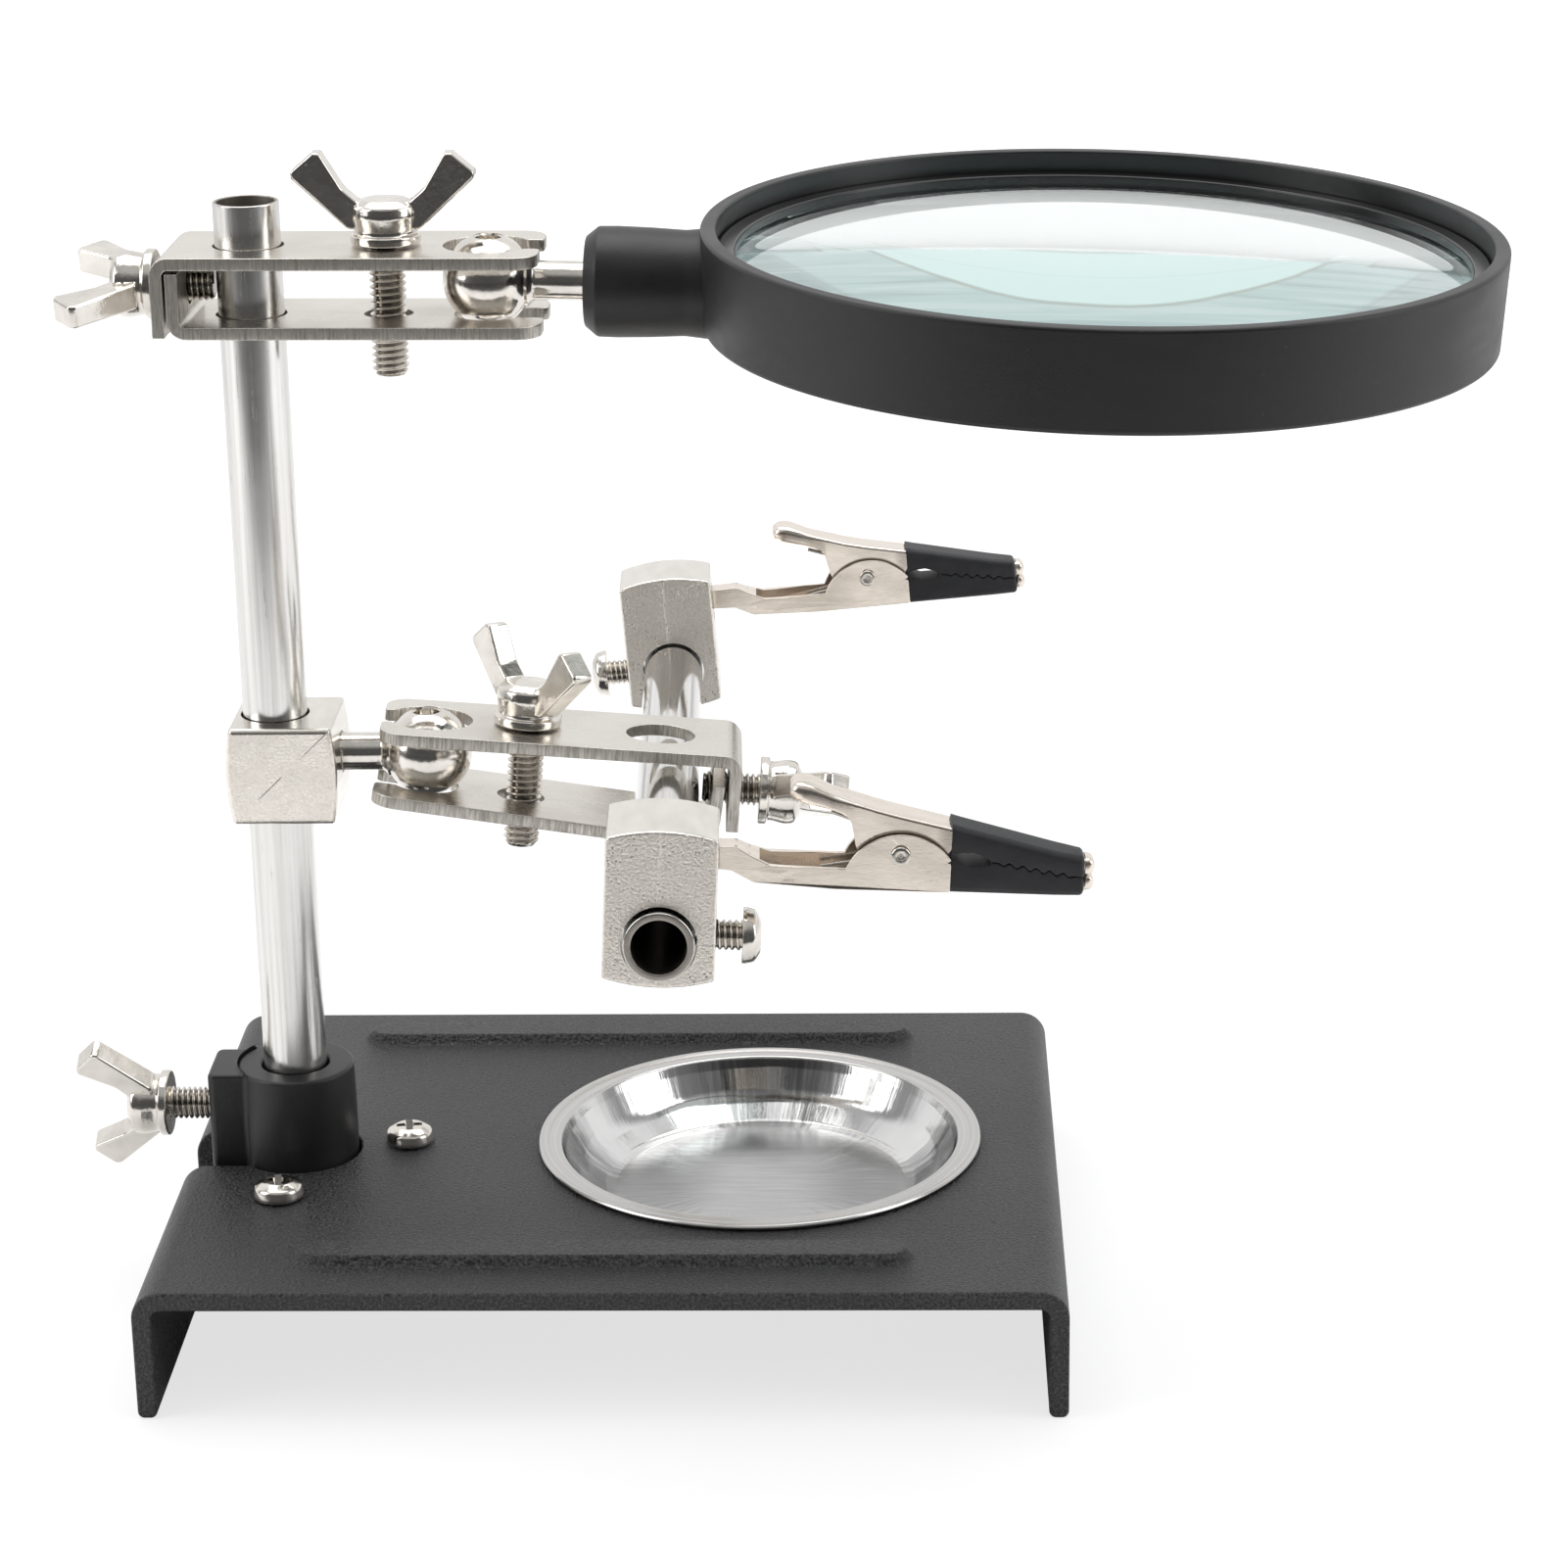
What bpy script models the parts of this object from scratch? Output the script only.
"""Bench helping hands with a magnifying lens and two spring clips.

A folded steel base carries a moulded socket with an upright tube. Two pairs of
clamp plates hold ball studs: the upper pair carries the lens, the lower pair
carries a cross bar with a block and a spring clip at each end.

Lengths are in millimetres and are turned into metres when a mesh is made.
Working frame: X along the base's long side, +Y towards the back, +Z up, with
zero at the middle of the base on the bench. The datum empty moves all of it so
that the whole object's envelope is centred over the origin.
"""

import math

import bmesh
import bpy
from mathutils import Matrix, Vector

MM = 0.001

# ---------------------------------------------------------------- shared dimensions
DATUM_X, DATUM_Y = -23.26, -0.07  # middle of the base, seen from the envelope centre

BASE_W, BASE_D, BASE_H = 130.0, 102.5, 19.2
SEAT_Z = BASE_H + 0.3  # underside of the dish rim and of the base screw heads
BASE_SCREW_AT = {"front": (-48.8, -19.2), "right": (-31.9, 0.6), "rear": (-48.1, 16.4)}
DISH_X, DISH_Y = 20.6, 1.6

POST_X, POST_Y = -48.1, -1.6
POST_R, POST_BORE_R = 4.63, 3.95
POST_BOTTOM, POST_TOP = 14.8, 162.0

RUN_R = 4.95  # hole that a tube turns or slides in
SCREW_HOLE_R = 2.35
BALL_R, STEM_R = 6.4, 2.75
STEM_WAY_R = STEM_R + 0.35

# ---------------------------------------------------------------- scene
for old in list(bpy.data.objects):
    bpy.data.objects.remove(old, do_unlink=True)
scene = bpy.context.scene
parts = bpy.data.collections.new("helping_hands_magnifier")
helpers = bpy.data.collections.new("cutters")
scene.collection.children.link(parts)
scene.collection.children.link(helpers)


def material(name, colour, roughness, metallic=0.0, alpha=1.0):
    made = bpy.data.materials.new(name)
    made.use_nodes = True
    shader = made.node_tree.nodes["Principled BSDF"]
    shader.inputs["Base Color"].default_value = (*colour, 1.0)
    shader.inputs["Roughness"].default_value = roughness
    shader.inputs["Metallic"].default_value = metallic
    shader.inputs["Alpha"].default_value = alpha
    made.diffuse_color = (*colour, alpha)
    return made


POWDER = material("black_powder_coat", colour=(0.030, 0.031, 0.033), roughness=0.62)
PLASTIC = material("black_plastic", colour=(0.018, 0.018, 0.020), roughness=0.5)
RUBBER = material("black_rubber", colour=(0.022, 0.022, 0.026), roughness=0.7)
NICKEL = material("nickel_plate", colour=(0.78, 0.74, 0.69), roughness=0.28, metallic=1.0)
CAST = material("nickel_casting", colour=(0.72, 0.68, 0.62), roughness=0.42, metallic=1.0)
CHROME = material("chrome_tube", colour=(0.80, 0.80, 0.80), roughness=0.12, metallic=1.0)
STAINLESS = material(
    "stainless_dish", colour=(0.66, 0.66, 0.67), roughness=0.25, metallic=1.0
)
SPRING_STEEL = material(
    "spring_steel", colour=(0.55, 0.54, 0.52), roughness=0.3, metallic=1.0
)
GLASS = material("lens_glass", colour=(0.86, 0.95, 0.93), roughness=0.02, alpha=0.35)


# ---------------------------------------------------------------- placing
def at(x, y, z):
    return Matrix.Translation((x * MM, y * MM, z * MM))


def turn(angle, axis):
    return Matrix.Rotation(angle, 4, axis)


IDENTITY = Matrix.Identity(4)
ALONG_X = turn(math.pi / 2, "Y")  # local +Z points to +X
ALONG_MINUS_X = turn(-math.pi / 2, "Y")
ALONG_Y = turn(-math.pi / 2, "X")  # local +Z points to +Y
SIDE_VIEW = turn(math.pi / 2, "X")  # a flat outline's y becomes +Z, its depth -Y

WORLD = {}  # each frame's matrix in the working frame, in metres


def axes(x, y, z, origin):
    """Matrix with the given axes and an origin in metres."""
    made = Matrix.Identity(4)
    for column, axis in enumerate((x, y, z)):
        for row in range(3):
            made[row][column] = axis[row]
    made.translation = origin
    return made


def square_to(axis, vector):
    """The unit vector nearest to the given one that is square to the axis."""
    return (vector - vector.dot(axis) * axis).normalized()


def frame(name, parent=None, matrix=IDENTITY):
    """An empty on a joint's axis. The matrix is in the working frame."""
    empty = bpy.data.objects.new(name, None)
    empty.empty_display_size = 0.01
    parts.objects.link(empty)
    WORLD[name] = matrix
    if parent:
        empty.parent = bpy.data.objects[parent]
        empty.matrix_basis = WORLD[parent].inverted() @ matrix
    return empty


def put(piece, axis, finish, matrix=IDENTITY):
    """Hang a visible piece on the named frame."""
    piece.parent = bpy.data.objects[axis]
    piece.matrix_basis = matrix
    piece.data.materials.append(finish)
    parts.objects.link(piece)
    return piece


def combine(host, operation, tool, axis, matrix):
    """Hang a hidden tool on the named frame and apply it to the host."""
    tool.parent = bpy.data.objects[axis]
    tool.matrix_basis = matrix
    helpers.objects.link(tool)
    tool.hide_render = True
    tool.display_type = "WIRE"
    boolean = host.modifiers.new(operation.lower(), "BOOLEAN")
    boolean.operation = operation
    boolean.object = tool
    boolean.solver = "EXACT"


def cut(host, tool, axis, matrix=IDENTITY):
    combine(host, "DIFFERENCE", tool, axis, matrix)


def fuse(host, tool, axis, matrix=IDENTITY):
    combine(host, "UNION", tool, axis, matrix)


# ---------------------------------------------------------------- shapes
def from_bmesh(name, shape):
    mesh = bpy.data.meshes.new(name)
    bmesh.ops.recalc_face_normals(shape, faces=shape.faces)
    shape.to_mesh(mesh)
    shape.free()
    mesh.shade_smooth()
    mesh.set_sharp_from_angle(angle=math.radians(35))
    return bpy.data.objects.new(name, mesh)


def rod(name, radius, z0, z1, segments=24):
    shape = bmesh.new()
    bmesh.ops.create_cone(
        shape,
        cap_ends=True,
        segments=segments,
        radius1=radius * MM,
        radius2=radius * MM,
        depth=(z1 - z0) * MM,
    )
    bmesh.ops.translate(shape, vec=(0, 0, (z0 + z1) / 2 * MM), verts=shape.verts)
    return from_bmesh(name, shape)


def ball(name, radius):
    shape = bmesh.new()
    bmesh.ops.create_uvsphere(shape, u_segments=20, v_segments=10, radius=radius * MM)
    return from_bmesh(name, shape)


def box(name, *spans):
    """A block from its (low, high) spans in x, y and z."""
    shape = bmesh.new()
    bmesh.ops.create_cube(shape, size=1.0)
    size = [(high - low) * MM for low, high in spans]
    centre = [(high + low) / 2 * MM for low, high in spans]
    bmesh.ops.scale(shape, vec=size, verts=shape.verts)
    bmesh.ops.translate(shape, vec=centre, verts=shape.verts)
    return from_bmesh(name, shape)


def flat(name, outline, half, holes=()):
    """A flat outline, filled and extruded by half its thickness to each side."""
    curve = bpy.data.curves.new(name, "CURVE")
    curve.dimensions = "2D"
    curve.fill_mode = "BOTH"
    curve.extrude = half * MM
    for loop in (outline, *holes):
        spline = curve.splines.new("POLY")
        spline.points.add(len(loop) - 1)
        for point, (x, y) in zip(spline.points, loop):
            point.co = (x * MM, y * MM, 0.0, 1.0)
        spline.use_cyclic_u = True
    guide = bpy.data.objects.new(name + "_outline", curve)
    scene.collection.objects.link(guide)
    graph = bpy.context.evaluated_depsgraph_get()
    mesh = bpy.data.meshes.new_from_object(guide.evaluated_get(graph))
    bpy.data.objects.remove(guide, do_unlink=True)
    shape = bmesh.new()
    shape.from_mesh(mesh)
    bmesh.ops.remove_doubles(shape, verts=shape.verts, dist=1e-6)
    return from_bmesh(name, shape)


def turned(name, profile, segments):
    """A profile of (radius, z) turned about Z, closed unless both ends are on the axis."""
    shape = bmesh.new()
    points = [shape.verts.new((radius * MM, 0.0, z * MM)) for radius, z in profile]
    if profile[0][0] != 0.0 or profile[-1][0] != 0.0:
        points.append(points[0])
    for pair in zip(points, points[1:]):
        shape.edges.new(pair)
    mesh = bpy.data.meshes.new(name)
    shape.to_mesh(mesh)
    shape.free()
    made = bpy.data.objects.new(name, mesh)
    screw = made.modifiers.new("turn", "SCREW")
    screw.steps = screw.render_steps = segments
    screw.use_merge_vertices = True
    screw.merge_threshold = 0.00001
    screw.use_smooth_shade = True
    return made


def arc(centre_x, centre_y, radius, start, end, steps):
    """Points on a circle from start to end, in degrees."""
    angles = [math.radians(start + (end - start) * i / steps) for i in range(steps + 1)]
    return [
        (centre_x + radius * math.cos(angle), centre_y + radius * math.sin(angle))
        for angle in angles
    ]


def circle(centre_x, radius, count):
    """A closed loop of count points, centred on the x axis."""
    return arc(centre_x, 0, radius, 0, 360 - 360 / count, count - 1)


def bulged(x0, x1, y0, y1, bulge, upright):
    """A rectangle with two opposite sides swollen: top and bottom if upright."""
    steps = 6
    swells = [(i / steps, bulge * (1 - (2 * i / steps - 1) ** 2)) for i in range(steps + 1)]
    if upright:
        low = [(x0 + (x1 - x0) * part, y0 - swell) for part, swell in swells]
        high = [(x1 - (x1 - x0) * part, y1 + swell) for part, swell in swells]
        return low + high
    right = [(x1 + swell, y0 + (y1 - y0) * part) for part, swell in swells]
    left = [(x0 - swell, y1 - (y1 - y0) * part) for part, swell in swells]
    return right + left


# ---------------------------------------------------------------- screws and studs
# Half section of a pan head that rests at height zero: radius, z.
PAN_HEAD_R, PAN_HEAD_H, PAN_SHANK_R = 3.6, 2.5, 2.0
PAN_HEAD = [
    (0.0, PAN_HEAD_H),
    (PAN_HEAD_R * 0.55, PAN_HEAD_H * 0.94),
    (PAN_HEAD_R * 0.88, PAN_HEAD_H * 0.62),
    (PAN_HEAD_R, PAN_HEAD_H * 0.22),
    (PAN_HEAD_R, 0.0),
]
# Half section of a wing screw's hub and collar: radius, z.
WING_HUB = [
    (0.0, 6.7), (2.6, 6.5), (4.0, 5.6), (4.35, 3.6), (4.25, 1.4), (4.75, 1.0), (4.75, 0.0),
]
# Outline of one raised wing: distance from the axis, height.
WING = [
    (3.0, 1.9), (5.2, 1.9), (12.9, 9.4), (12.7, 10.1),
    (9.5, 12.7), (8.6, 12.7), (5.0, 6.6), (3.0, 5.6),
]
WING_HALF_T = 1.8
SHANK_CHAMFER_R, SHANK_CHAMFER_L = 0.5, 0.6


def pan_screw(name, axis, shank, matrix=IDENTITY):
    """A pan head screw with its head's seat at zero, and the shank along -Z."""
    profile = PAN_HEAD + [(PAN_SHANK_R, 0.0), (PAN_SHANK_R, -shank), (0.0, -shank)]
    put(turned(name, profile, 14), axis, NICKEL, matrix)


def wing_screw(name, axis, spin, shank_r, shank):
    """Hub, collar and two raised wings on a shank that runs to -Z. Spin in degrees."""
    profile = WING_HUB + [
        (shank_r, 0.0),
        (shank_r, -shank + SHANK_CHAMFER_L),
        (shank_r - SHANK_CHAMFER_R, -shank),
        (0.0, -shank),
    ]
    spun = turn(math.radians(spin), "Z")
    screw = put(turned(name, profile, 18), axis, NICKEL, spun)
    for side, label in ((1, "a"), (-1, "b")):
        blade = [(side * x, y) for x, y in WING]
        fuse(screw, flat(f"{name}_wing_{label}", blade, WING_HALF_T), axis, spun @ SIDE_VIEW)


def ball_stud(name, axis, stem_end, matrix=IDENTITY):
    """A ball with a stem along +X and a small blind hole on top."""
    stud = put(ball(name, BALL_R), axis, NICKEL, matrix)
    fuse(stud, rod(name + "_stem", STEM_R, 3.0, stem_end, 20), axis, matrix @ ALONG_X)
    hole = rod(name + "_spanner_hole", 1.9, BALL_R - 1.5, BALL_R + 1, 16)
    cut(stud, hole, axis, matrix)


# ---------------------------------------------------------------- base
SHEET = 2.75
BEND_R = 4.0
FOOT_CHAMFER = 0.7
RIB_HALF_L, RIB_HALF_W, RIB_H = 42.2, 3.1, 0.9
RIB_SINK = 1.0  # how far a rib's tool reaches into the sheet
RIB_Y = (41.5, -39.6)
SOCKET_HOLE_R, DISH_HOLE_R = 9.15, 30.4
NOTCH_HALF_W, NOTCH_Z0 = 6.35, 10.5

# Half section of the dish: radius, z.
DISH_R = 33.15
DISH_PROFILE = [
    (0.0, 11.6), (21.6, 11.6), (24.2, 12.2), (26.4, 14.2), (28.6, 18.6),
    (29.5, SEAT_Z + 0.6), (32.8, SEAT_Z + 0.6), (DISH_R, SEAT_Z + 0.3),
    (DISH_R, SEAT_Z), (29.9, SEAT_Z),
    (29.1, 18.3), (26.9, 13.8), (24.5, 11.6), (21.8, 11.0), (0.0, 11.0),
]


def base_section():
    """The folded sheet seen from the front: inner side first, then outer side."""
    outer_x = BASE_W / 2
    inner_x = outer_x - SHEET
    bend_x, bend_z = outer_x - BEND_R, BASE_H - BEND_R
    return (
        [(-inner_x - FOOT_CHAMFER, 0.0), (-inner_x, FOOT_CHAMFER)]
        + arc(-bend_x, bend_z, BEND_R - SHEET, 180, 90, 3)
        + arc(bend_x, bend_z, BEND_R - SHEET, 90, 0, 3)
        + [(inner_x, FOOT_CHAMFER), (inner_x + FOOT_CHAMFER, 0.0)]
        + [(outer_x - FOOT_CHAMFER, 0.0), (outer_x, FOOT_CHAMFER)]
        + arc(bend_x, bend_z, BEND_R, 0, 90, 6)
        + arc(-bend_x, bend_z, BEND_R, 90, 180, 6)
        + [(-outer_x, FOOT_CHAMFER), (-outer_x + FOOT_CHAMFER, 0.0)]
    )


def cut_base_screw_holes(host, prefix, z0, z1):
    for i, (x, y) in enumerate(BASE_SCREW_AT.values()):
        cut(host, rod(f"{prefix}_{i}", SCREW_HOLE_R, z0, z1, 12), "datum", at(x, y, 0))


def build_base():
    base = put(flat("base_plate", base_section(), BASE_D / 2), "datum", POWDER, SIDE_VIEW)
    end_x = RIB_HALF_L - RIB_HALF_W
    rib_outline = arc(end_x, 0, RIB_HALF_W, -90, 90, 6) + arc(
        -end_x, 0, RIB_HALF_W, 90, 270, 6
    )
    half = (RIB_H + RIB_SINK) / 2
    for i, rib_y in enumerate(RIB_Y):
        rib = flat(f"rib_{i}", rib_outline, half)
        fuse(base, rib, "datum", at(0, rib_y, BASE_H - RIB_SINK + half))
    socket_hole = rod("socket_hole", SOCKET_HOLE_R, 10, 25, 32)
    cut(base, socket_hole, "datum", at(POST_X, POST_Y, 0))
    dish_hole = rod("dish_hole", DISH_HOLE_R, 10, 25, 48)
    cut(base, dish_hole, "datum", at(DISH_X, DISH_Y, 0))
    notch = box(
        "socket_notch",
        (-BASE_W / 2 - 5, POST_X),
        (-NOTCH_HALF_W, NOTCH_HALF_W),
        (NOTCH_Z0, 30),
    )
    cut(base, notch, "datum", at(0, POST_Y, 0))
    cut_base_screw_holes(base, "base_hole", 10, 25)


def build_dish():
    """Shallow turned dish that hangs in the base by its flat rim."""
    frame("dish_axis", "datum", at(DISH_X, DISH_Y, 0))
    put(turned("dish", DISH_PROFILE, 48), "dish_axis", STAINLESS)


def build_base_screws():
    for label, (x, y) in BASE_SCREW_AT.items():
        pan_screw("base_screw_" + label, "datum", 6.6, at(x, y, SEAT_Z))


# ---------------------------------------------------------------- socket and post
BOSS_R, BOSS_TOP = 8.75, 32.2
LUG_REACH, LUG_HALF_W = 13.0, 5.3
FLANGE_Z0, FLANGE_Z1 = 12.2, 16.1
FLANGE_CORNER_R = 4.0
# T-shaped flange below the base: corner centre x, y and start angle in degrees.
FLANGE_CORNERS = (
    (17.0, -3.0, -90), (17.0, 3.0, 0), (2.5, 19.5, 0),
    (-4.0, 19.5, 90), (-4.0, -19.5, 180), (2.5, -19.5, 270),
)
BASE_WING_Z, BASE_WING_REACH = 26.6, 18.5
NUT_X, NUT_R, NUT_T, NUT_BORE_R = -6.2, 4.5, 3.4, 2.75
POCKET_HALF_W = 4.85


def build_holder():
    """Moulded socket: a boss and a square lug above the base, a flange below it."""
    holder = put(
        rod("post_holder", BOSS_R, FLANGE_Z0, BOSS_TOP, 32), "post_axis", PLASTIC
    )
    lug = box(
        "holder_lug", (-LUG_REACH, -3), (-LUG_HALF_W, LUG_HALF_W), (FLANGE_Z0, BOSS_TOP)
    )
    fuse(holder, lug, "post_axis")
    outline = []
    for x, y, start in FLANGE_CORNERS:
        outline += arc(x, y, FLANGE_CORNER_R, start, start + 90, 3)
    flange = flat("holder_flange", outline, (FLANGE_Z1 - FLANGE_Z0) / 2)
    fuse(holder, flange, "post_axis", at(0, 0, (FLANGE_Z1 + FLANGE_Z0) / 2))
    cut(holder, rod("holder_bore", RUN_R, 14.5, 40), "post_axis")
    screw_way = rod("holder_screw_way", NUT_BORE_R, 3.5, 16, 14)
    cut(holder, screw_way, "post_axis", at(0, 0, BASE_WING_Z) @ ALONG_MINUS_X)
    pocket = box(
        "holder_nut_pocket",
        (-9.95, -5.85),
        (-POCKET_HALF_W, POCKET_HALF_W),
        (5, BASE_WING_Z + POCKET_HALF_W),
    )
    cut(holder, pocket, "post_axis")
    cut_base_screw_holes(holder, "holder_hole", 5, 20)


def build_holder_nut():
    place = at(NUT_X, 0, BASE_WING_Z) @ ALONG_MINUS_X
    nut = put(rod("holder_nut", NUT_R, 0, NUT_T, 6), "post_axis", NICKEL, place)
    cut(nut, rod("nut_hole", NUT_BORE_R, -1, 5, 20), "post_axis", place)


def build_base_wing_screw():
    place = at(POST_X - BASE_WING_REACH, POST_Y, BASE_WING_Z) @ ALONG_MINUS_X
    frame("base_wing_axis", "datum", place)
    wing_screw("base_wing_screw", "base_wing_axis", spin=-28, shank_r=2.4, shank=13.5)


def build_post():
    profile = [
        (POST_BORE_R, POST_TOP),
        (POST_R - 0.15, POST_TOP),
        (POST_R, POST_TOP - 0.3),
        (POST_R, POST_BOTTOM),
        (POST_BORE_R, POST_BOTTOM),
    ]
    put(turned("post", profile, 24), "post_axis", CHROME)


# ---------------------------------------------------------------- clamp plates
PLATE_W, PLATE_T = 19.8, 1.75
PLATE_BEND_R, PLATE_CORNER_R = 2.6, 3.6
TOP_FACE = 4.9  # outer face of a top plate, above the ball's centre
BOTTOM_FACE = 4.75 + PLATE_T  # outer face of a bottom plate, below the ball's centre
BOLT_AT, HOLE_AT = 14.1, 33.35  # bolt and tube, from the ball's centre

UPPER_Z = 151.0
UPPER_YAW, UPPER_DIP = math.radians(-0.58), math.radians(0.35)
UPPER_WAY, LOWER_WAY = -0.6, -2.6  # height of the flange screws

LOWER_BALL = (-26.2, POST_Y, 81.7)
LOWER_DIP = math.radians(5.0)
LOWER_SPLAY = math.radians(4.2)
SPLAY_REACH = 43.0  # where the splayed plate's screw hole is levelled with the other


def clamp_plate(name, axis, matrix, top, ball_hole, tip, flange_x, reach, way):
    """A strip with one end folded into a flange, and an open fork at the other.

    The ball's centre is at zero. A top plate folds down and a bottom plate
    folds up. The fork lets the ball's stem swing between the tips.
    """
    face = TOP_FACE if top else BOTTOM_FACE
    bend_x, bend_z = flange_x - PLATE_BEND_R, face - PLATE_BEND_R
    strip = (
        [(-tip, face - PLATE_T)]
        + arc(bend_x, bend_z, PLATE_BEND_R - PLATE_T, 90, 0, 3)
        + [(flange_x - PLATE_T, face - reach), (flange_x, face - reach)]
        + arc(bend_x, bend_z, PLATE_BEND_R, 0, 90, 5)
        + [(-tip, face)]
    )
    if not top:
        strip = [(x, -z) for x, z in reversed(strip)]
    plate = put(flat(name, strip, PLATE_W / 2), axis, NICKEL, matrix @ SIDE_VIEW)

    half = PLATE_W / 2
    corner_x, corner_y = -tip + PLATE_CORNER_R, half - PLATE_CORNER_R
    gap = math.degrees(math.asin(STEM_WAY_R / ball_hole))
    outline = (
        [(-tip, STEM_WAY_R)]
        + arc(corner_x, corner_y, PLATE_CORNER_R, 180, 90, 4)
        + [(flange_x + 3, half), (flange_x + 3, -half)]
        + arc(corner_x, -corner_y, PLATE_CORNER_R, 270, 180, 4)
        + [(-tip, -STEM_WAY_R)]
        + arc(0, 0, ball_hole, -180 + gap, 180 - gap, 20)
    )
    holes = [circle(BOLT_AT, 3.05 if top else 3.4, 16), circle(HOLE_AT, RUN_R, 24)]
    combine(plate, "INTERSECT", flat(name + "_plan", outline, 20, holes), axis, matrix)
    through = rod(name + "_screw_way", 2.85, 30, 60, 16)
    cut(plate, through, axis, matrix @ at(0, 0, way) @ ALONG_X)


def clamp_screws(level, clamp_world, screw_x, way, spins, shanks):
    """Wing bolt through both plates and wing screw in the flanges.

    Spins and shanks are given for the bolt, then for the screw.
    """
    bolt_axis, screw_axis = level + "_bolt_axis", level + "_wing_axis"
    parent = level + "_clamp_axis"
    frame(bolt_axis, parent, clamp_world @ at(BOLT_AT, 0, TOP_FACE + 0.3))
    wing_screw(level + "_wing_bolt", bolt_axis, spins[0], 2.6, shanks[0])
    frame(screw_axis, parent, clamp_world @ at(screw_x, 0, way) @ ALONG_X)
    wing_screw(level + "_wing_screw", screw_axis, spins[1], 2.35, shanks[1])


def build_upper_clamp(arm):
    """Clamp on the post, with its flanges on the left and its ball on the right."""
    arm_dip = Vector(
        (arm.x * math.cos(UPPER_DIP), arm.y * math.cos(UPPER_DIP), -math.sin(UPPER_DIP))
    )
    across = Vector((-arm.y, arm.x, 0.0))
    post_point = Vector((POST_X, POST_Y, UPPER_Z)) * MM
    clamp_world = axes(-arm_dip, -across, arm_dip.cross(across), post_point) @ at(
        -HOLE_AT, 0, 0
    )
    axis = "upper_clamp_axis"
    frame(axis, "post_axis", at(POST_X, POST_Y, UPPER_Z))
    place = WORLD[axis].inverted() @ clamp_world
    clamp_plate(
        "upper_top_plate", axis, place, top=True,
        ball_hole=6.15, tip=7.6, flange_x=45.6, reach=11.2, way=UPPER_WAY,
    )
    clamp_plate(
        "upper_bottom_plate", axis, place, top=False,
        ball_hole=4.85, tip=7.9, flange_x=43.5, reach=9.2, way=UPPER_WAY,
    )
    clamp_screws(
        "upper", clamp_world, screw_x=46.4, way=UPPER_WAY, spins=(0, 80), shanks=(18.6, 8.1)
    )
    return clamp_world


# ---------------------------------------------------------------- lens
LENS_NORMAL = Vector((0.0283, -0.0295, 0.9992))
RING_AT, RING_LIFT = 84.9, 1.62  # ring centre from the ball, along and above the stem
RING_R, RING_HALF, RING_WALL = 55.5, 7.0, 2.2
RING_EDGE = 0.5
LEDGE_R, LEDGE_Z = 50.4, -1.2
LENS_R, LENS_EDGE, LENS_SAG = 52.6, 2.6, 4.8
LENS_MID_Z = 0.5
LENS_STEPS = 4
HANDLE_R, HANDLE_START, HANDLE_END = 7.7, 13.2, 31.2
HANDLE_BORE_R = 3.1

RING_PROFILE = [
    (RING_R - RING_WALL, RING_HALF), (RING_R - RING_EDGE, RING_HALF),
    (RING_R, RING_HALF - RING_EDGE), (RING_R - 0.7, -RING_HALF),
    (LEDGE_R, -RING_HALF), (LEDGE_R, LEDGE_Z), (RING_R - RING_WALL, LEDGE_Z),
]
HANDLE_PROFILE = [
    (0.0, HANDLE_END), (HANDLE_R, HANDLE_END), (HANDLE_R, HANDLE_START + 1.3),
    (HANDLE_R - 0.9, HANDLE_START), (0.0, HANDLE_START),
]
RETAINING_PROFILE = [(50.6, 3.9), (52.9, 3.9), (52.9, 2.5), (50.6, 2.5)]


def lens_profile():
    """Half section of a lens that bulges alike on both faces."""
    upper = []
    for i in range(LENS_STEPS + 1):
        radius = LENS_R * i / LENS_STEPS
        rise = LENS_EDGE / 2 + LENS_SAG * (1 - (radius / LENS_R) ** 2)
        upper.append((radius, LENS_MID_Z + rise))
    return upper + [(radius, 2 * LENS_MID_Z - z) for radius, z in reversed(upper)]


def build_lens(arm, ball_centre):
    normal = LENS_NORMAL.normalized()
    stem = square_to(normal, arm)
    lens_world = axes(stem, normal.cross(stem), normal, ball_centre)
    frame("lens_ball_axis", "upper_clamp_axis", lens_world)
    ball_stud("lens_ball_stud", "lens_ball_axis", 24.0)

    axis = "lens_axis"
    frame(axis, "lens_ball_axis", lens_world)
    centre = at(RING_AT, 0, RING_LIFT)
    ring = put(turned("lens_frame", RING_PROFILE, 60), axis, PLASTIC, centre)
    fuse(ring, turned("lens_handle", HANDLE_PROFILE, 28), axis, ALONG_X)
    cut(ring, rod("handle_bore", HANDLE_BORE_R, 5, 24.8, 20), axis, ALONG_X)
    put(turned("lens", lens_profile(), 48), axis, GLASS, centre)
    put(turned("lens_retaining_ring", RETAINING_PROFILE, 48), axis, PLASTIC, centre)


# ---------------------------------------------------------------- lower carrier
BLOCK_Z = 80.4
BAR_AXIS = Vector((-0.0410, 1.0, -0.0443)).normalized()
BAR_AT, BAR_DROP = 34.8, -2.3
BAR_R, BAR_BORE_R = 4.62, 3.95
BAR_FRONT, BAR_BACK = -75.3, 76.3


def bar_frame(dip, origin):
    """Axes with Y along the cross bar and X dipping from level by the given angle."""
    x = square_to(BAR_AXIS, Vector((math.cos(dip), 0.0, -math.sin(dip))))
    return axes(x, BAR_AXIS, x.cross(BAR_AXIS), origin)


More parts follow.
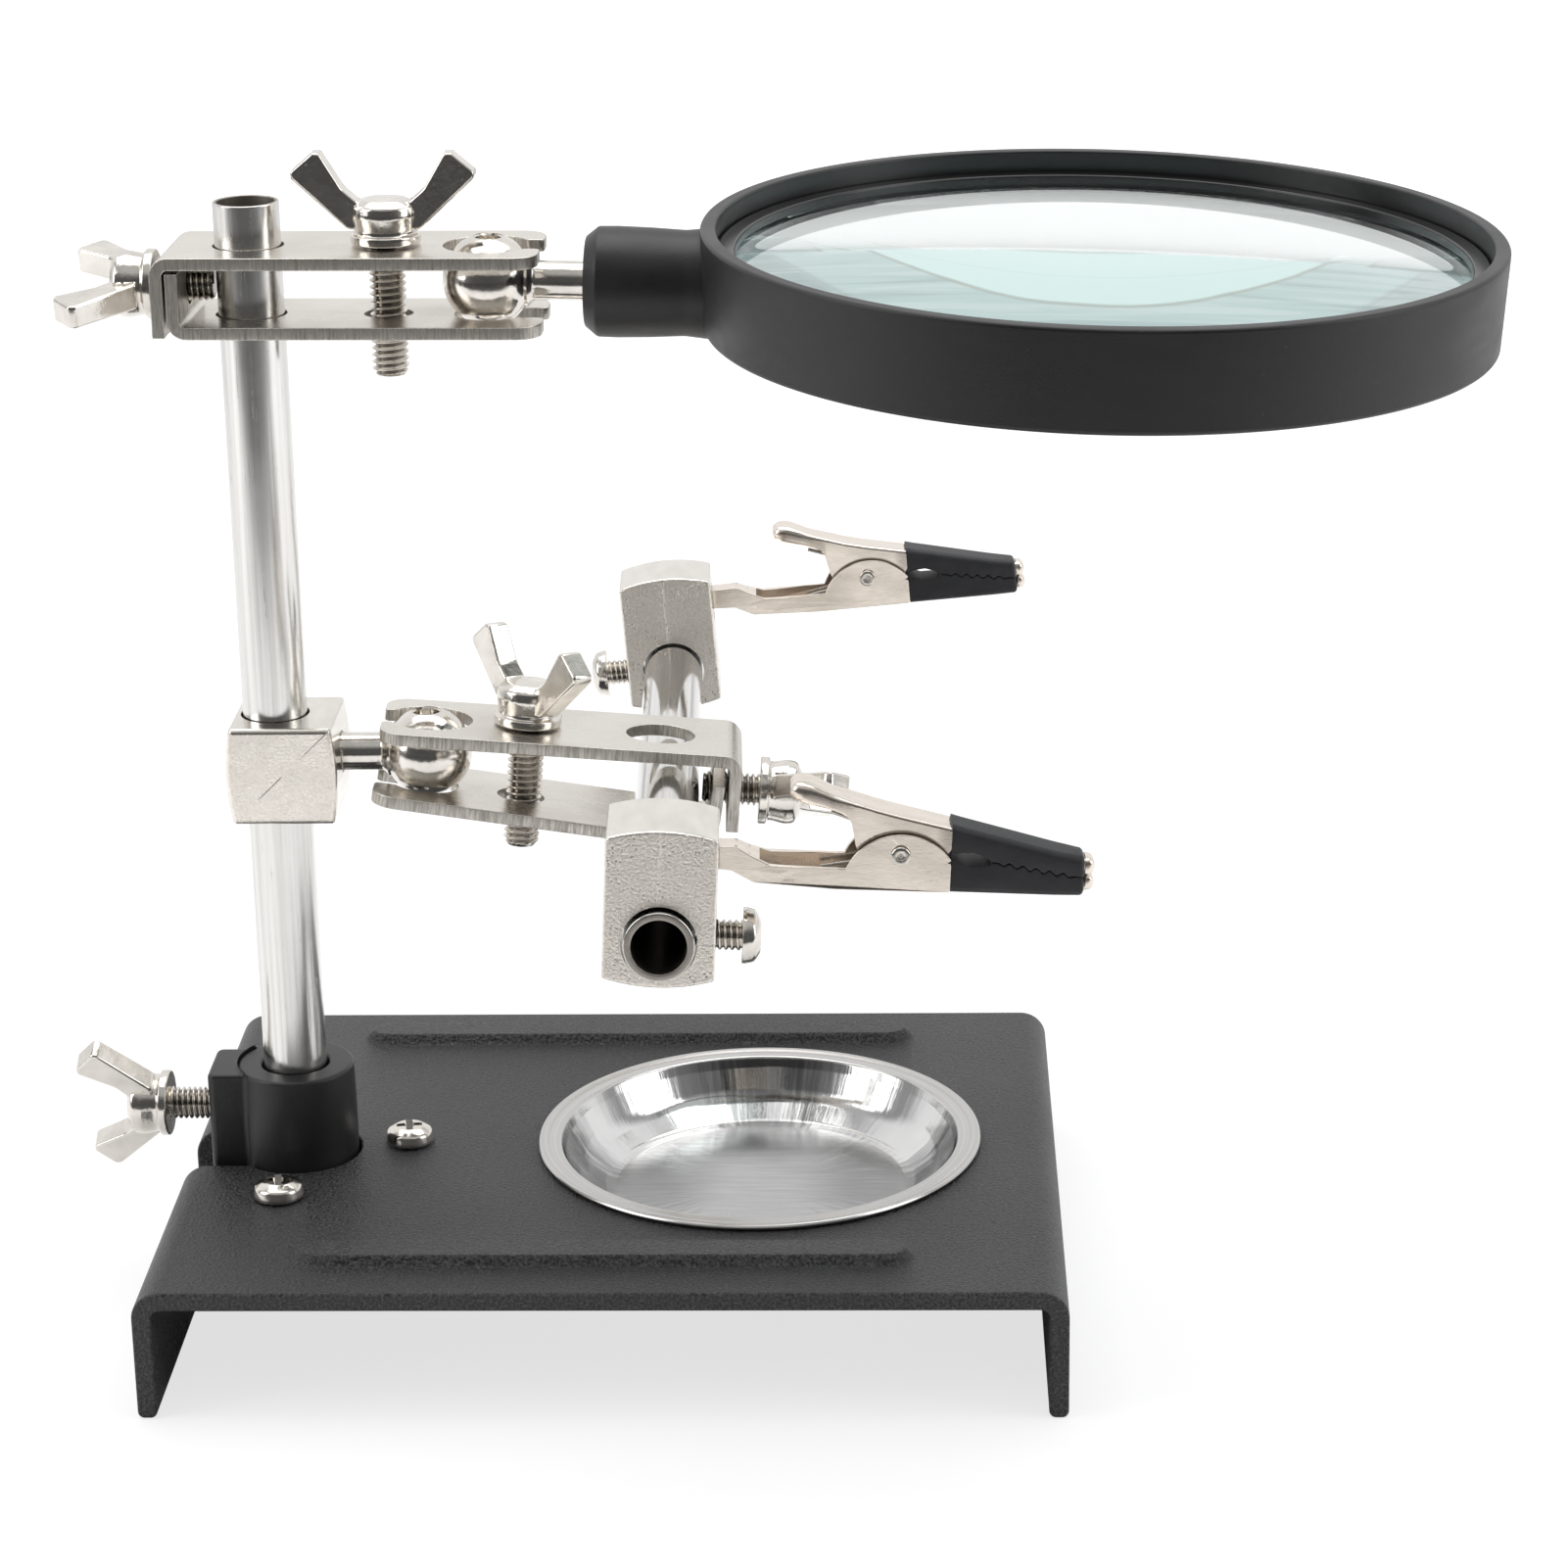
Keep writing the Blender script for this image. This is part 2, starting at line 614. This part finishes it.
def build_post_block():
    """Block that slides on the post and takes the lower ball's stem on its right."""
    axis = "post_block_axis"
    frame(axis, "post_axis", at(POST_X, POST_Y, BLOCK_Z))
    outline = bulged(-5.7, 8.9, -7.2, 7.2, bulge=0.7, upright=False)
    block = put(flat("post_block", outline, 8.0), axis, CAST, SIDE_VIEW)
    cut(block, rod("post_block_bore", RUN_R, -20, 20), axis)
    stud_way = rod("post_block_stud_way", STEM_WAY_R, 5.6, 15, 20)
    cut(block, stud_way, axis, at(0, 0, LOWER_BALL[2] - BLOCK_Z) @ ALONG_X)
    cut(block, rod("post_block_screw_way", SCREW_HOLE_R, 4, 15, 12), axis, ALONG_Y)
    frame("post_block_screw_axis", axis, at(POST_X, POST_Y + 11.4, BLOCK_Z) @ ALONG_Y)
    pan_screw("post_block_screw", "post_block_screw_axis", 6.3)


def build_lower_clamp():
    frame("lower_ball_axis", "post_block_axis", at(*LOWER_BALL))
    ball_stud("lower_ball_stud", "lower_ball_axis", 15.8, turn(math.pi, "Z"))
    axis = "lower_clamp_axis"
    clamp_world = bar_frame(LOWER_DIP, Vector(LOWER_BALL) * MM)
    frame(axis, "lower_ball_axis", clamp_world)
    clamp_plate(
        "lower_top_plate", axis, IDENTITY, top=True,
        ball_hole=6.15, tip=6.7, flange_x=45.3, reach=11.2, way=LOWER_WAY,
    )
    clamp_plate(
        "lower_bottom_plate", axis, turn(LOWER_SPLAY, "Y"), top=False,
        ball_hole=4.95, tip=7.0, flange_x=42.9, reach=10.0,
        way=LOWER_WAY + SPLAY_REACH * math.sin(LOWER_SPLAY),
    )
    clamp_screws(
        "lower", clamp_world, screw_x=48.1, way=LOWER_WAY, spins=(-52, 71), shanks=(18.2, 8.2)
    )


def build_cross_bar():
    bar_world = WORLD["lower_clamp_axis"] @ at(BAR_AT, 0, BAR_DROP)
    frame("bar_axis", "lower_clamp_axis", bar_world)
    profile = [
        (BAR_BORE_R, BAR_BACK),
        (BAR_R - 0.15, BAR_BACK),
        (BAR_R, BAR_BACK - 0.3),
        (BAR_R, BAR_FRONT + 0.3),
        (BAR_R - 0.15, BAR_FRONT),
        (BAR_BORE_R, BAR_FRONT),
    ]
    put(turned("cross_bar", profile, 24), "bar_axis", CHROME, ALONG_Y)


# ---------------------------------------------------------------- clip blocks
BLOCK_L, BLOCK_HALF_W = 13.0, 7.25
CLIP_Z = 9.6
BLOCK_SCREW_X, BLOCK_SCREW_Z = 10.7, -0.6


def build_clip_block(end, face, dip, side):
    """Block on the bar. Its front face is at face; its screw is on side +1 or -1 in X."""
    name = "clip_block_" + end
    axis, screw_axis = name + "_axis", "block_screw_" + end + "_axis"
    centre = WORLD["bar_axis"] @ Vector((0, (face + BLOCK_L / 2) * MM, 0))
    block_world = bar_frame(dip, centre)
    frame(axis, "bar_axis", block_world)
    outline = bulged(-BLOCK_HALF_W, BLOCK_HALF_W, -4.6, 13.35, bulge=1.1, upright=True)
    block = put(flat(name, outline, BLOCK_L / 2), axis, CAST, SIDE_VIEW)
    cut(block, rod(name + "_bore", RUN_R, -20, 20), axis, ALONG_Y)
    tail_way = rod(name + "_tail_way", 3.25, -1.5, 15, 20)
    cut(block, tail_way, axis, at(0, 0, CLIP_Z) @ ALONG_X)
    outward = ALONG_X if side > 0 else ALONG_MINUS_X
    screw_way = rod(name + "_screw_way", SCREW_HOLE_R, 4, 15, 12)
    cut(block, screw_way, axis, at(0, 0, BLOCK_SCREW_Z) @ outward)
    screw_place = at(side * BLOCK_SCREW_X, 0, BLOCK_SCREW_Z) @ outward
    frame(screw_axis, axis, block_world @ screw_place)
    pan_screw("block_screw_" + end, screw_axis, 5.7)


# ---------------------------------------------------------------- spring clips
PIVOT = at(24.1, 0, 2.45)  # cross pin in the clip's frame
UPPER_VIEW = PIVOT.inverted() @ SIDE_VIEW  # side view on the upper jaw's frame
TROUGH_HALF_IN, SNOUT_HALF = 3.4, 1.8
SLEEVE_HALF, SLEEVE_HALF_IN = 2.9, 2.15
EYE_R = 1.1

# Side outlines in the clip's frame: distance from the tail end, height.
TROUGH = (
    [(2.0, -2.0), (16.0, -2.35), (30.6, -2.3), (30.6, 1.7)]
    + arc(24.3, -2.5, 7.7, 35, 158, 9)
    + [(7.2, 0.5), (4.6, 1.0), (3.0, 2.2), (2.0, 2.2)]
)
TROUGH_INSIDE = [(6.2, -1.8), (30.0, -1.8), (30.0, 9), (6.2, 9)]
TROUGH_MOUTH = [(29, 0.8), (32, 0.8), (32, 9), (29, 9)]
LOW_SNOUT = [(30.2, -1.5), (48.8, -1.6), (48.8, -0.6), (36.0, 0.7), (30.2, 0.6)]
LOW_SLEEVE = [(31.0, -2.4), (47.7, -2.3), (47.7, -0.45), (36.2, 1.5), (31.0, 1.35)]
LOW_POCKET = [(30.0, -1.8), (49.5, -1.9), (49.5, -0.3), (36.0, 1.05), (30.0, 0.95)]
UPPER_JAW = [
    (9.9, 10.1), (11.2, 10.4), (16.3, 8.9), (30.9, 5.95), (30.9, 3.3), (29.2, 0.5),
    (19.6, 0.5), (18.4, 3.3), (17.2, 7.5), (14.0, 8.0), (10.2, 8.9),
]
UPPER_HOLLOW = [(12.4, 9.35), (16.3, 8.2), (30.3, 5.4), (30.3, -3.0), (12.4, -3.0)]
HIGH_SNOUT = [(30.0, 5.85), (30.0, 4.25), (36.0, 2.95), (48.8, 0.75), (48.8, 1.5)]
HIGH_SLEEVE = [(31.2, 6.6), (31.2, 3.4), (36.2, 1.95), (47.7, -0.1), (47.7, 2.5)]
HIGH_POCKET = [(29.0, 6.7), (29.0, 4.15), (36.0, 2.55), (49.5, 0.25), (49.5, 1.65)]

# Half section of the pin, with a formed head at each end: radius, z.
PIN_PROFILE = [
    (0.0, 4.5), (1.2, 4.5), (1.35, 4.2), (0.8, 4.2),
    (0.8, -4.2), (1.35, -4.2), (1.2, -4.5), (0.0, -4.5),
]

WIRE_R, COIL_R, COIL_HALF_W = 0.3, 1.75, 1.65
COIL_START, COIL_SWEEP = 100, 3 * 360 + 160  # degrees
COIL_STEPS = int(COIL_SWEEP / 45) + 1


def lower_jaw(name, axis, push):
    """Trough with round ears, a round tail and a snout."""
    jaw = put(flat(name + "_lower_jaw", TROUGH, 3.9), axis, NICKEL, SIDE_VIEW)
    cut(jaw, flat(name + "_trough", TROUGH_INSIDE, TROUGH_HALF_IN), axis, SIDE_VIEW)
    cut(jaw, flat(name + "_mouth", TROUGH_MOUTH, TROUGH_HALF_IN), axis, SIDE_VIEW)
    fuse(jaw, flat(name + "_low_snout", LOW_SNOUT, SNOUT_HALF), axis, SIDE_VIEW)
    fuse(jaw, rod(name + "_tail", 2.85, -6.3 - push, 3.2, 20), axis, ALONG_X)
    cut(jaw, rod(name + "_ear_eye", EYE_R, -6, 6, 16), axis, PIVOT @ ALONG_Y)


def upper_jaw(name, axis):
    """Lever, roof and cheeks folded from one sheet, and a snout."""
    jaw = put(flat(name + "_upper_jaw", UPPER_JAW, 3.05), axis, NICKEL, UPPER_VIEW)
    cut(jaw, flat(name + "_upper_hollow", UPPER_HOLLOW, 2.55), axis, UPPER_VIEW)
    fuse(jaw, flat(name + "_high_snout", HIGH_SNOUT, SNOUT_HALF), axis, UPPER_VIEW)
    cut(jaw, rod(name + "_cheek_eye", EYE_R, -6, 6, 16), axis, ALONG_Y)


def sleeve(name, outline, pocket_name, pocket, axis, view):
    """Rubber sleeve over a snout, open at both ends."""
    made = put(flat(name, outline, SLEEVE_HALF), axis, RUBBER, view)
    cut(made, flat(pocket_name, pocket, SLEEVE_HALF_IN), axis, view)


def torsion_spring(name, axis):
    """A coil round the pin, with one leg towards the tail at each end."""
    curve = bpy.data.curves.new(name, "CURVE")
    curve.dimensions = "3D"
    curve.bevel_depth = WIRE_R * MM
    curve.bevel_resolution = 1
    curve.use_fill_caps = True
    path = [(-9.0, -COIL_HALF_W, 5.2)]
    coil = arc(0, 0, COIL_R, COIL_START, COIL_START + COIL_SWEEP, COIL_STEPS)
    for i, (x, z) in enumerate(coil):
        path.append((x, COIL_HALF_W * (2 * i / COIL_STEPS - 1), z))
    path.append((-10.0, COIL_HALF_W, -3.55))
    spline = curve.splines.new("POLY")
    spline.points.add(len(path) - 1)
    for point, (x, y, z) in zip(spline.points, path):
        point.co = (x * MM, y * MM, z * MM, 1.0)
    put(bpy.data.objects.new(name, curve), axis, SPRING_STEEL, PIVOT)


def build_spring_clip(end, push):
    """Two jaws on a cross pin. Push moves the clip out of its block along X."""
    name = "clip_" + end
    block_axis, tail, jaw = f"clip_block_{end}_axis", name + "_axis", name + "_jaw_axis"
    clip_world = WORLD[block_axis] @ at(BLOCK_HALF_W + push, 0, CLIP_Z)
    frame(tail, block_axis, clip_world)
    frame(jaw, tail, clip_world @ PIVOT)
    lower_jaw(name, tail, push)
    sleeve(
        name + "_lower_sleeve", LOW_SLEEVE, name + "_low_pocket", LOW_POCKET, tail, SIDE_VIEW
    )
    put(turned(name + "_pivot_pin", PIN_PROFILE, 14), tail, NICKEL, PIVOT @ ALONG_Y)
    upper_jaw(name, jaw)
    sleeve(
        name + "_upper_sleeve", HIGH_SLEEVE, name + "_high_pocket", HIGH_POCKET, jaw, UPPER_VIEW
    )
    torsion_spring(name + "_spring", tail)


# ---------------------------------------------------------------- assembly
frame("datum").location = (DATUM_X * MM, DATUM_Y * MM, 0.0)
build_base()
build_dish()
frame("post_axis", "datum", at(POST_X, POST_Y, 0))
build_holder()
build_holder_nut()
build_base_screws()
build_base_wing_screw()
build_post()

upper_arm = Vector((math.cos(UPPER_YAW), math.sin(UPPER_YAW), 0.0))
upper_clamp_world = build_upper_clamp(upper_arm)
build_lens(upper_arm, upper_clamp_world.translation)

build_post_block()
build_lower_clamp()
build_cross_bar()
build_clip_block("front", face=-73.8, dip=math.radians(3.0), side=1)
build_clip_block("back", face=61.8, dip=math.radians(-4.5), side=-1)
build_spring_clip("front", push=-0.9)
build_spring_clip("back", push=0.9)
